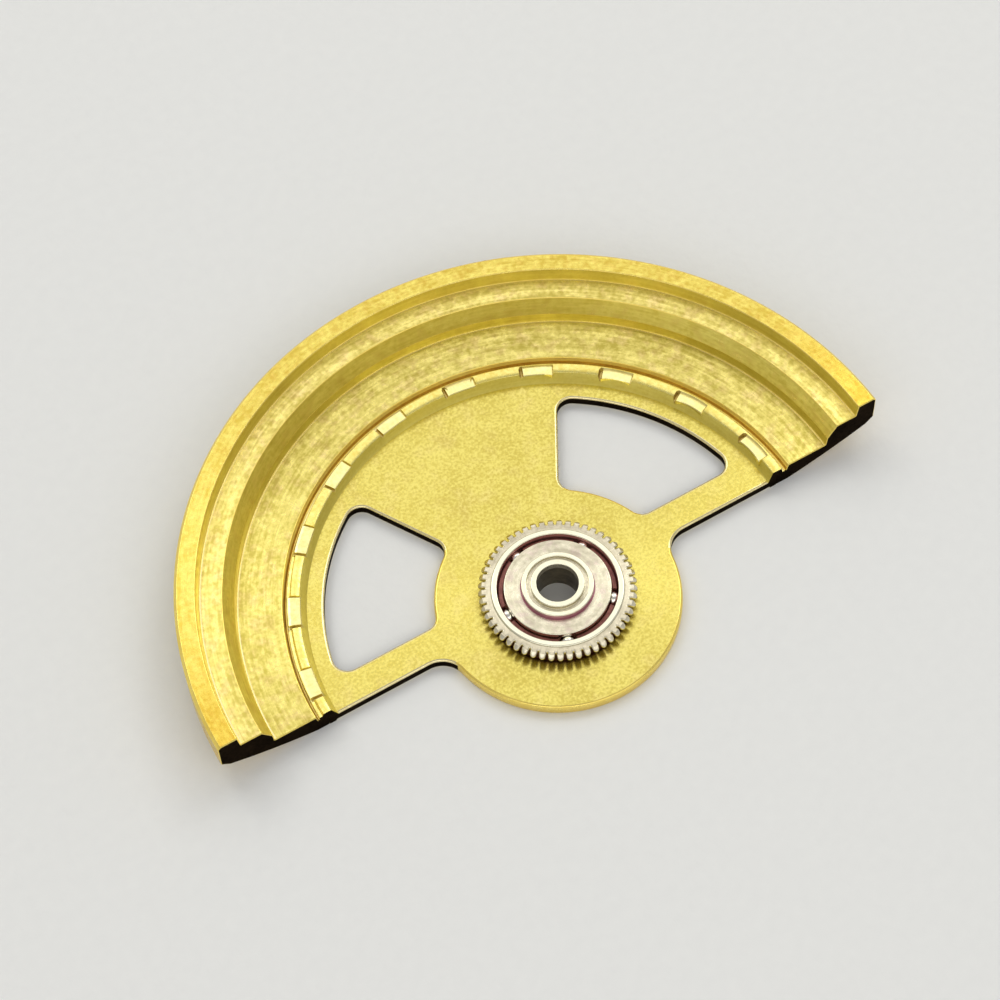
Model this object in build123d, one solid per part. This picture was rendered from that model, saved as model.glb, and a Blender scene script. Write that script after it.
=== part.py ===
from build123d import *
from math import cos, radians, sin, sqrt
import os

# Winding rotor of an automatic watch, seen from its movement side.
# Lengths are in millimetres and angles in degrees. Z is the rotor's axis and Z = 0 is the display
# side's flat, which the rotor lies on. The heavy mass lies towards +Y and its ends are on the X axis.

# Angles of turning
quarter_turn = 90.0
half_turn = 180.0
full_turn = 360.0

# Fits between pieces
seat_clearance = 0.005  # pieces that are pressed, staked or riveted together
running_clearance = 0.04  # cage beside the races, on the radius
groove_clearance = 0.015  # ball in its grooves, on the radius
cut_overrun = 1.0  # how far a cutter passes the faces that it cuts

# Heavy mass, from its outside inwards
mass_outer_radius = 12.5
rim_width = 0.71
rim_wall_lean = 0.07
step_width = 0.76
cone_width = 0.34
band_wall_lean = 0.04
band_width = 1.51
groove_wall_lean = 0.07
lip_width = 0.36
edge_break = 0.03
rim_edge_break = 0.10

# Heavy mass, from the display side upwards
lip_height = 0.60
groove_depth = 0.30
band_wall_rise = 0.38
cone_rise = 0.51
rim_rise = 0.51
outer_wall_height = 1.15
display_bevel_width = 0.30
display_bevel_rise = 0.27
display_foot_width = 0.46
display_sagitta = 0.07

# Rotor plate: a web with two windows, a round hub and a raised rim
plate_thickness = 0.42
hub_radius = 4.13
hub_fillet_radius = 0.85
arm_width = 1.15
window_hub_margin = 0.03
window_rim_margin = 0.58
window_fillet_radius = 0.50
spoke_half_angle = 30.2
spoke_edge_offset = 0.11
plate_edge_radius = 0.05

# Raised rim of the plate, turned over the lip of the mass
turned_rim_thickness = 0.30
turned_rim_reach = 0.29
turned_rim_lean = 0.15
crest_width = 0.25
rim_slope_width = 0.22

# Stamped places that stake the rim, on a circle a little off the rotor's axis
stamp_count = 10
stamp_pitch_angle = 18.0
stamp_angle = 6.9
stamp_inset = 0.11
stamp_width = 0.37
stamp_depth = 0.07
stamp_shift = 0.127
stamp_shift_angle = 154.8
least_strip_width = 0.05  # a thinner strip of crest beside a stamp goes with it

# Ball bearing: balls and cage
ball_count = 5
ball_radius = 0.275
ball_pitch_radius = 1.87
ball_rise_over_plate = 0.18
first_ball_angle = 33.2
pocket_clearance = 0.04
cage_post_rise = 0.20
cage_ring_height = 0.18
cage_ring_gap = 0.03

# Outer race, riveted into the plate, and the toothed ring on it
race_gap_outside = 0.133
race_lip_width = 0.205
race_spigot_wall = 0.22
race_body_width = 0.17
race_body_height = 0.36
race_spigot_recess = 0.03
race_lip_rise = 0.05
race_edge_break = 0.03
gear_thickness = 0.20
gear_land_width = 0.19
tooth_count = 53
tooth_height = 0.24
first_tooth_angle = 3.24
tooth_root_share = 0.31
tooth_shoulder_share = 0.21
tooth_flank_share = 0.62

# Bearing core with its locating tube, and the cone pressed on from the display side
bore_radius = 0.69
bore_chamfer = 0.05
tube_wall = 0.203
tube_rise = 0.06
recess_width = 0.187
recess_depth = 0.10
boss_wall = 0.12
boss_rise = 0.18
race_gap_inside = 0.11
core_lip_rise = 0.04
stem_wall = 0.55
cone_recess = 0.03
core_edge_break = 0.025

# Radii that follow
rim_inner_radius = mass_outer_radius - rim_width
step_outer_radius = rim_inner_radius - rim_wall_lean
step_inner_radius = step_outer_radius - step_width
cone_foot_radius = step_inner_radius - cone_width
band_outer_radius = cone_foot_radius - band_wall_lean
band_inner_radius = band_outer_radius - band_width
lip_outer_radius = band_inner_radius - groove_wall_lean
lip_inner_radius = lip_outer_radius - lip_width
plate_outer_radius = lip_inner_radius - seat_clearance
turned_foot_radius = lip_inner_radius + turned_rim_reach
crest_outer_radius = turned_foot_radius - turned_rim_lean
crest_inner_radius = crest_outer_radius - crest_width
slope_foot_radius = crest_inner_radius - rim_slope_width
window_inner_radius = hub_radius - window_hub_margin
window_outer_radius = slope_foot_radius - window_rim_margin
stamp_inner_radius = crest_inner_radius - stamp_inset
race_bore_radius = ball_pitch_radius + race_gap_outside
race_lip_radius = race_bore_radius + race_lip_width
race_body_radius = race_lip_radius + race_body_width
race_spigot_radius = race_bore_radius + race_spigot_wall
gear_bore_radius = race_lip_radius + seat_clearance
gear_root_radius = race_lip_radius + gear_land_width
gear_tip_radius = gear_root_radius + tooth_height
ball_groove_radius = ball_radius + groove_clearance
core_flange_radius = ball_pitch_radius - race_gap_inside
stem_radius = bore_radius + stem_wall
tube_radius = bore_radius + tube_wall
recess_outer_radius = tube_radius + recess_width
boss_radius = recess_outer_radius + boss_wall
cage_inner_radius = core_flange_radius + running_clearance
cage_outer_radius = race_bore_radius - running_clearance

# Heights that follow
crest_height = lip_height + seat_clearance + turned_rim_thickness
stamp_height = crest_height - stamp_depth
band_height = lip_height + groove_depth
cone_foot_height = band_height + band_wall_rise
step_height = cone_foot_height + cone_rise
rim_height = step_height + rim_rise
gear_bottom = plate_thickness + race_body_height
gear_top = gear_bottom + gear_thickness
race_top = gear_top + race_lip_rise
ball_height = plate_thickness + ball_rise_over_plate
flange_height = race_top + core_lip_rise
boss_height = flange_height + boss_rise
tube_height = boss_height + tube_rise
cage_ring_top = ball_height - ball_radius - cage_ring_gap


def turned(points, sweep=full_turn):
    """Solid of revolution about Z of a closed outline of (radius, height) points."""
    outline = make_face(Polyline(*points, close=True))
    return revolve(Plane.XZ * outline, Axis.Z, sweep)


def disc(radius, bottom, top):
    """Upright cylinder on the rotor's axis."""
    return Pos(0, 0, bottom) * extrude(Circle(radius), top - bottom)


def at_angle(radius, angle):
    """Point of the XY plane at a radius and an angle."""
    return (radius * cos(radians(angle)), radius * sin(radians(angle)))


def groove():
    """Room that the balls sweep, with their clearance."""
    return Pos(0, 0, ball_height) * Torus(ball_pitch_radius, ball_groove_radius)


def heavy_mass():
    """Half ring of stepped section, with the lip that the plate's rim is turned over."""
    bevel_radius = mass_outer_radius - display_bevel_width
    bevel_height = outer_wall_height - display_bevel_rise
    foot_radius = lip_inner_radius + display_foot_width
    outline_points = [
        (bevel_radius, bevel_height),
        (mass_outer_radius, outer_wall_height),
        (mass_outer_radius, rim_height - rim_edge_break),
        (mass_outer_radius - rim_edge_break, rim_height),
        (rim_inner_radius + edge_break, rim_height),
        (rim_inner_radius, rim_height - edge_break),
        (step_outer_radius, step_height),
        (step_inner_radius + edge_break, step_height),
        (step_inner_radius, step_height - edge_break),
        (cone_foot_radius, cone_foot_height),
        (band_outer_radius, band_height),
        (band_inner_radius + edge_break, band_height),
        (band_inner_radius, band_height - edge_break),
        (lip_outer_radius, lip_height),
        (lip_inner_radius, lip_height),
        (lip_inner_radius, 0),
        (foot_radius, 0),
    ]
    display_face = SagittaArc(outline_points[0], outline_points[-1], display_sagitta)
    outline = make_face([Polyline(*outline_points), display_face])
    return revolve(Plane.XZ * outline, Axis.Z, half_turn)


def window():
    """Opening between hub, spoke, rim and arm, on the +X side of the plate."""
    across_x, across_y = at_angle(spoke_edge_offset, -spoke_half_angle)
    corners = {}
    for radius in (window_inner_radius, window_outer_radius):
        along = sqrt(radius**2 - spoke_edge_offset**2)
        along_x, along_y = at_angle(along, quarter_turn - spoke_half_angle)
        corners["spoke", radius] = (along_x + across_x, along_y + across_y)
        corners["arm", radius] = (sqrt(radius**2 - arm_width**2), arm_width)
    spoke_in = corners["spoke", window_inner_radius]
    spoke_out = corners["spoke", window_outer_radius]
    arm_in = corners["arm", window_inner_radius]
    arm_out = corners["arm", window_outer_radius]
    outline = make_face([
        Line(spoke_in, spoke_out),
        RadiusArc(spoke_out, arm_out, window_outer_radius),
        Line(arm_out, arm_in),
        RadiusArc(arm_in, spoke_in, -window_inner_radius),
    ])
    rounded = fillet(outline.vertices(), window_fillet_radius)
    return Pos(0, 0, -cut_overrun) * extrude(rounded, plate_thickness + 2 * cut_overrun)


def web():
    """Flat of the plate: half disc, full round hub and the two windows, with rounded top edges."""
    half_disc = make_face([
        ThreePointArc((plate_outer_radius, 0), (0, plate_outer_radius), (-plate_outer_radius, 0)),
        Line((-plate_outer_radius, 0), (plate_outer_radius, 0)),
    ])
    outline = half_disc + Circle(hub_radius)
    hub_corners = outline.vertices().sort_by_distance((0, 0))[:2]
    outline = fillet(hub_corners, hub_fillet_radius)
    flat = extrude(outline, plate_thickness)
    flat -= window()
    flat -= mirror(window(), Plane.YZ)
    top_edges = flat.faces().sort_by(Axis.Z)[-1].edges()
    return fillet(top_edges, plate_edge_radius)


def raised_rim():
    """Rim that stands up from the web and is turned outwards over the lip of the mass."""
    turned_bottom = lip_height + seat_clearance
    return turned([
        (slope_foot_radius, 0),
        (plate_outer_radius, 0),
        (plate_outer_radius, turned_bottom),
        (turned_foot_radius, turned_bottom),
        (crest_outer_radius, crest_height),
        (crest_inner_radius, crest_height),
        (slope_foot_radius, plate_thickness),
    ], half_turn)


def stamp(inner, outer, middle, bottom, top):
    """Block of the stamp's angle between two radii and two heights."""
    outline = [(inner, bottom), (outer, bottom), (outer, top), (inner, top)]
    return Rot(0, 0, middle - stamp_angle / 2) * turned(outline, stamp_angle)


def staked(plate):
    """Plate with the crest pressed down at the stamps, and the metal that they push aside."""
    for index in range(stamp_count):
        middle = quarter_turn + (index - (stamp_count - 1) / 2) * stamp_pitch_angle
        inner = stamp_inner_radius + stamp_shift * cos(radians(middle - stamp_shift_angle))
        outer = inner + stamp_width
        cut_inner = inner if inner > crest_inner_radius + least_strip_width else slope_foot_radius
        cut_outer = outer if outer < crest_outer_radius - least_strip_width else lip_outer_radius
        plate -= stamp(cut_inner, cut_outer, middle, stamp_height, crest_height + cut_overrun)
        plate += stamp(inner, outer, middle, lip_height + seat_clearance, stamp_height)
    return plate


def rotor_plate():
    """Web, raised rim, stamped places and the hole that the outer race is riveted in."""
    plate = staked(web() + raised_rim())
    hole_radius = race_spigot_radius + seat_clearance
    return plate - disc(hole_radius, -cut_overrun, plate_thickness + cut_overrun)


def outer_race():
    """Outer race: spigot in the plate, shoulder on it, seat for the toothed ring and polished lip."""
    race = turned([
        (race_bore_radius, race_spigot_recess),
        (race_spigot_radius, race_spigot_recess),
        (race_spigot_radius, plate_thickness),
        (race_body_radius, plate_thickness),
        (race_body_radius, gear_bottom),
        (race_lip_radius, gear_bottom),
        (race_lip_radius, race_top - race_edge_break),
        (race_lip_radius - race_edge_break, race_top),
        (race_bore_radius + race_edge_break, race_top),
        (race_bore_radius, race_top - race_edge_break),
    ])
    return race - groove()


def rotor_gear():
    """Toothed ring pressed on the outer race. Each tooth has straight flanks and a round tip."""
    pitch = full_turn / tooth_count
    shoulder_radius = gear_root_radius + tooth_flank_share * tooth_height
    edges = []
    for index in range(tooth_count):
        middle = first_tooth_angle + index * pitch
        foot_before = at_angle(gear_root_radius, middle - tooth_root_share * pitch)
        shoulder_before = at_angle(shoulder_radius, middle - tooth_shoulder_share * pitch)
        shoulder_after = at_angle(shoulder_radius, middle + tooth_shoulder_share * pitch)
        foot_after = at_angle(gear_root_radius, middle + tooth_root_share * pitch)
        gap_middle = at_angle(gear_root_radius, middle + pitch / 2)
        next_foot = at_angle(gear_root_radius, middle + (1 - tooth_root_share) * pitch)
        edges.append(Line(foot_before, shoulder_before))
        edges.append(ThreePointArc(shoulder_before, at_angle(gear_tip_radius, middle), shoulder_after))
        edges.append(Line(shoulder_after, foot_after))
        edges.append(ThreePointArc(foot_after, gap_middle, next_foot))
    toothed = make_face(edges) - Circle(gear_bore_radius)
    return Pos(0, 0, gear_bottom) * extrude(toothed, gear_thickness)


def bearing_core():
    """Upper half of the inner race, its stem, and the tube that locates the rotor on the movement."""
    core = turned([
        (bore_radius, 0),
        (stem_radius, 0),
        (stem_radius, ball_height),
        (core_flange_radius, ball_height),
        (core_flange_radius, flange_height - core_edge_break),
        (core_flange_radius - core_edge_break, flange_height),
        (boss_radius, flange_height),
        (boss_radius, boss_height - core_edge_break),
        (boss_radius - core_edge_break, boss_height),
        (recess_outer_radius, boss_height),
        (recess_outer_radius, boss_height - recess_depth),
        (tube_radius, boss_height - recess_depth),
        (tube_radius, tube_height - core_edge_break),
        (tube_radius - core_edge_break, tube_height),
        (bore_radius + bore_chamfer, tube_height),
        (bore_radius, tube_height - bore_chamfer),
    ])
    return core - groove()


def bearing_cone():
    """Lower half of the inner race, a ring pressed on the core's stem."""
    cone = turned([
        (stem_radius + seat_clearance, cone_recess),
        (core_flange_radius, cone_recess),
        (core_flange_radius, ball_height - seat_clearance),
        (stem_radius + seat_clearance, ball_height - seat_clearance),
    ])
    return cone - groove()


def ball_cage():
    """Crown cage: a ring under the balls with a post between each two of them."""
    bottom = cage_ring_top - cage_ring_height
    top = ball_height + cage_post_rise
    cage = disc(cage_outer_radius, bottom, top) - disc(cage_inner_radius, bottom, top)
    pocket_width = 2 * (ball_radius + pocket_clearance)
    pocket_depth = top - cage_ring_top
    for index in range(ball_count):
        pocket = Box(ball_pitch_radius, pocket_width, pocket_depth, align=(Align.CENTER, Align.CENTER, Align.MIN))
        cage -= Rot(0, 0, ball_angle(index)) * Pos(ball_pitch_radius, 0, cage_ring_top) * pocket
    return cage


def ball_angle(index):
    """Where a ball is round the bearing."""
    return first_ball_angle + index * full_turn / ball_count


def ball(index):
    """One of the bearing's balls."""
    x, y = at_angle(ball_pitch_radius, ball_angle(index))
    return Pos(x, y, ball_height) * Sphere(ball_radius)


nodes = {
    "heavy_mass": heavy_mass(),
    "rotor_plate": rotor_plate(),
    "outer_race": outer_race(),
    "rotor_gear": rotor_gear(),
    "bearing_core": bearing_core(),
    "bearing_cone": bearing_cone(),
    "ball_cage": ball_cage(),
}
for ball_index in range(ball_count):
    nodes[f"ball_{ball_index + 1}"] = ball(ball_index)

os.makedirs("parts", exist_ok=True)
for node_name, solid in nodes.items():
    export_step(solid, f"parts/{node_name}.step")
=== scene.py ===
from math import acos, atan2, cos, degrees, radians, sin, sqrt, tan

import bmesh
import bpy
from mathutils import Matrix, Vector


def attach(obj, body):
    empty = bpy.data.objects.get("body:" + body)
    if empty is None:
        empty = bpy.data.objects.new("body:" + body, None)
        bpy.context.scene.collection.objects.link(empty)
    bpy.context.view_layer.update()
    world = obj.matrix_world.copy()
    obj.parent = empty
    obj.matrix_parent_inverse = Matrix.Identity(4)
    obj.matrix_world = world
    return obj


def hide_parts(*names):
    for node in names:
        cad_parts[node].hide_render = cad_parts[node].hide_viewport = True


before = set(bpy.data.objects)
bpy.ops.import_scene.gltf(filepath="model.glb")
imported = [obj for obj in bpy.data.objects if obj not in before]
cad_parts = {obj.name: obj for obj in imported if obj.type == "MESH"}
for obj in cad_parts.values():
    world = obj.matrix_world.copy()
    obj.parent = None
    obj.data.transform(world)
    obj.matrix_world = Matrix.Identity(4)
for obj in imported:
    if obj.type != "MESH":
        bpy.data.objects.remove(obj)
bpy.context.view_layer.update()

# Winding rotor of an automatic watch, movement side up. Pieces are drawn in millimetres
# round the rotor's axis and brought to metres when their mesh is made.
millimetre = 0.001
scene = bpy.context.scene
scene.view_settings.view_transform = "Standard"


# Camera, set where the photographer's stood
cameraLook = {
    "place": (-22.852, -39.018, 84.415),
    "tilt": (30.1986, 1.4444, -30.6200),
    "lens": 103.816,
    "sensor": 36.0,
    "nearest": 5.0,
    "furthest": 5000.0,
}


def placeCamera(look):
    lens = bpy.data.cameras.new("camera")
    lens.lens = look["lens"]
    lens.sensor_width = look["sensor"]
    lens.clip_start = look["nearest"] * millimetre
    lens.clip_end = look["furthest"] * millimetre
    camera = bpy.data.objects.new("camera", lens)
    camera.location = Vector(look["place"]) * millimetre
    camera.rotation_euler = [radians(angle) for angle in look["tilt"]]
    scene.collection.objects.link(camera)
    scene.camera = camera


# Shader nodes, each with what feeds its sockets
def addNode(tree, kind, sockets=None, **settings):
    made = tree.nodes.new(kind)
    for name, value in settings.items():
        setattr(made, name, value)
    for name, value in (sockets or {}).items():
        if isinstance(value, bpy.types.NodeSocket):
            tree.links.new(value, made.inputs[name])
        else:
            made.inputs[name].default_value = value
    return made


def addMath(tree, operation, *values):
    return addNode(tree, "ShaderNodeMath", dict(enumerate(values)), operation=operation).outputs[0]


def addVectorMath(tree, operation, *values):
    return addNode(tree, "ShaderNodeVectorMath", dict(enumerate(values)), operation=operation)


def addNoise(tree, spot, scale, detail, roughness=0.5):
    sockets = {"Vector": spot, "Scale": scale, "Detail": detail, "Roughness": roughness}
    return addNode(tree, "ShaderNodeTexNoise", sockets).outputs["Fac"]


def addRange(tree, value, low, high, first=0.0, last=1.0, **settings):
    # goes from first to last while the value goes from low to high
    sockets = {"Value": value, "From Min": low, "From Max": high, "To Min": first, "To Max": last}
    return addNode(tree, "ShaderNodeMapRange", sockets, **settings).outputs[0]


def addTones(tree, amount, first, last):
    tones = addNode(tree, "ShaderNodeValToRGB", {"Fac": amount})
    tones.color_ramp.elements[0].color = opaque(first)
    tones.color_ramp.elements[1].color = opaque(last)
    return tones.outputs["Color"]


def addBump(tree, height, depth):
    sockets = {"Height": height, "Distance": depth * millimetre}
    return addNode(tree, "ShaderNodeBump", sockets).outputs["Normal"]


def spotInMillimetres(tree):
    place = addNode(tree, "ShaderNodeTexCoord")
    sockets = {0: place.outputs["Object"], "Scale": 1 / millimetre}
    return addNode(tree, "ShaderNodeVectorMath", sockets, operation="SCALE").outputs[0]


def opaque(colour):
    return (*colour, 1)


floorLook = {
    "side": 900.0,
    "drop": 0.012,  # just under the rotor, so the two flats don't meet
    "pale": (0.86, 0.86, 0.85),
    "shade": (0.82, 0.82, 0.815),
    "fibre": 2.2,
    "fibreDetail": 4.0,
    "tooth": 0.02,
    "roughness": 0.62,
}


def paleCard(look):
    card = bpy.data.materials.new("paleCard")
    card.use_nodes = True
    tree = card.node_tree
    shader = tree.nodes["Principled BSDF"]
    shader.inputs["Roughness"].default_value = look["roughness"]
    fibre = addNoise(tree, spotInMillimetres(tree), look["fibre"], look["fibreDetail"])
    tree.links.new(addTones(tree, fibre, look["shade"], look["pale"]), shader.inputs["Base Color"])
    tree.links.new(addBump(tree, fibre, look["tooth"]), shader.inputs["Normal"])
    return card


def layFloor(look):
    reach = look["side"] / 2 * millimetre
    height = -look["drop"] * millimetre
    corners = [(-reach, -reach), (reach, -reach), (reach, reach), (-reach, reach)]
    mesh = bpy.data.meshes.new("floor")
    mesh.from_pydata([(x, y, height) for x, y in corners], [], [(0, 1, 2, 3)])
    mesh.materials.append(paleCard(look))
    floor = bpy.data.objects.new("floor", mesh)
    scene.collection.objects.link(floor)


worldLook = {"above": (0.46, 0.46, 0.455), "horizon": (0.80, 0.80, 0.79), "rise": 0.45}


def setSky(look):
    world = bpy.data.worlds.new("studio")
    world.use_nodes = True
    scene.world = world
    tree = world.node_tree
    place = addNode(tree, "ShaderNodeTexCoord")
    parts = addNode(tree, "ShaderNodeSeparateXYZ", {"Vector": place.outputs["Generated"]})
    climb = addRange(tree, parts.outputs["Z"], 0, look["rise"], interpolation_type="SMOOTHSTEP")
    sky = addTones(tree, climb, look["horizon"], look["above"])
    tree.links.new(sky, tree.nodes["Background"].inputs["Color"])


# Softboxes, which all look at one point: where each stands, and its width and height
softboxAim = (0, 4, 0)
softboxes = {
    "behindBox": {"place": (60, 150, 230), "size": (260, 260), "watts": 0.160, "colour": (1.0, 0.975, 0.92)},
    "rightBox": {"place": (185, 75, 225), "size": (110, 110), "watts": 0.093, "colour": (0.975, 0.99, 0.93)},
    "leftBox": {"place": (-60, 195, 225), "size": (110, 110), "watts": 0.069, "colour": (0.965, 0.99, 0.93)},
    "frontBox": {"place": (-50, -160, 185), "size": (430, 120), "watts": 0.18, "colour": (1.0, 0.985, 0.95)},
}


def hangSoftbox(name, look):
    light = bpy.data.lights.new(name, "AREA")
    light.energy = look["watts"]
    light.shape = "RECTANGLE"
    light.size, light.size_y = [side * millimetre for side in look["size"]]
    light.color = look["colour"]
    box = bpy.data.objects.new(name, light)
    box.location = Vector(look["place"]) * millimetre
    aim = Vector(softboxAim) - Vector(look["place"])
    box.rotation_euler = aim.to_track_quat("-Z", "Y").to_euler()
    scene.collection.objects.link(box)


placeCamera(cameraLook)
layFloor(floorLook)
setSky(worldLook)
for boxName, boxLook in softboxes.items():
    hangSoftbox(boxName, boxLook)
print("camera, floor and", len(softboxes), "softboxes set")


# Finishes: colour and dull are the two tones that the marks mix, and spread says how softly.
# lines is turning marks to the millimetre, arcs how short they are round the axis, and grain
# and blotch are spots to the millimetre. share says how much marks, long rings, grain and
# blotch each count for, and depth is the marks' depth. grazing is the tint of what shines off
# at a flat angle. A cast multiplies the colour in patches, by the radius or by the distance
# from the straight cut: (by what, factors, where it starts, where it is full).
usualFinish = {
    "spread": 0.10, "sheen": 0.0, "metal": 1.0, "lines": 8.0, "arcs": 8.0, "grain": 9.0, "blotch": 1.5,
    "share": (0.30, 0.20, 0.30, 0.20), "depth": 0.0010, "grazing": (1, 1, 1), "patch": 3.0, "casts": [],
}
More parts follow.
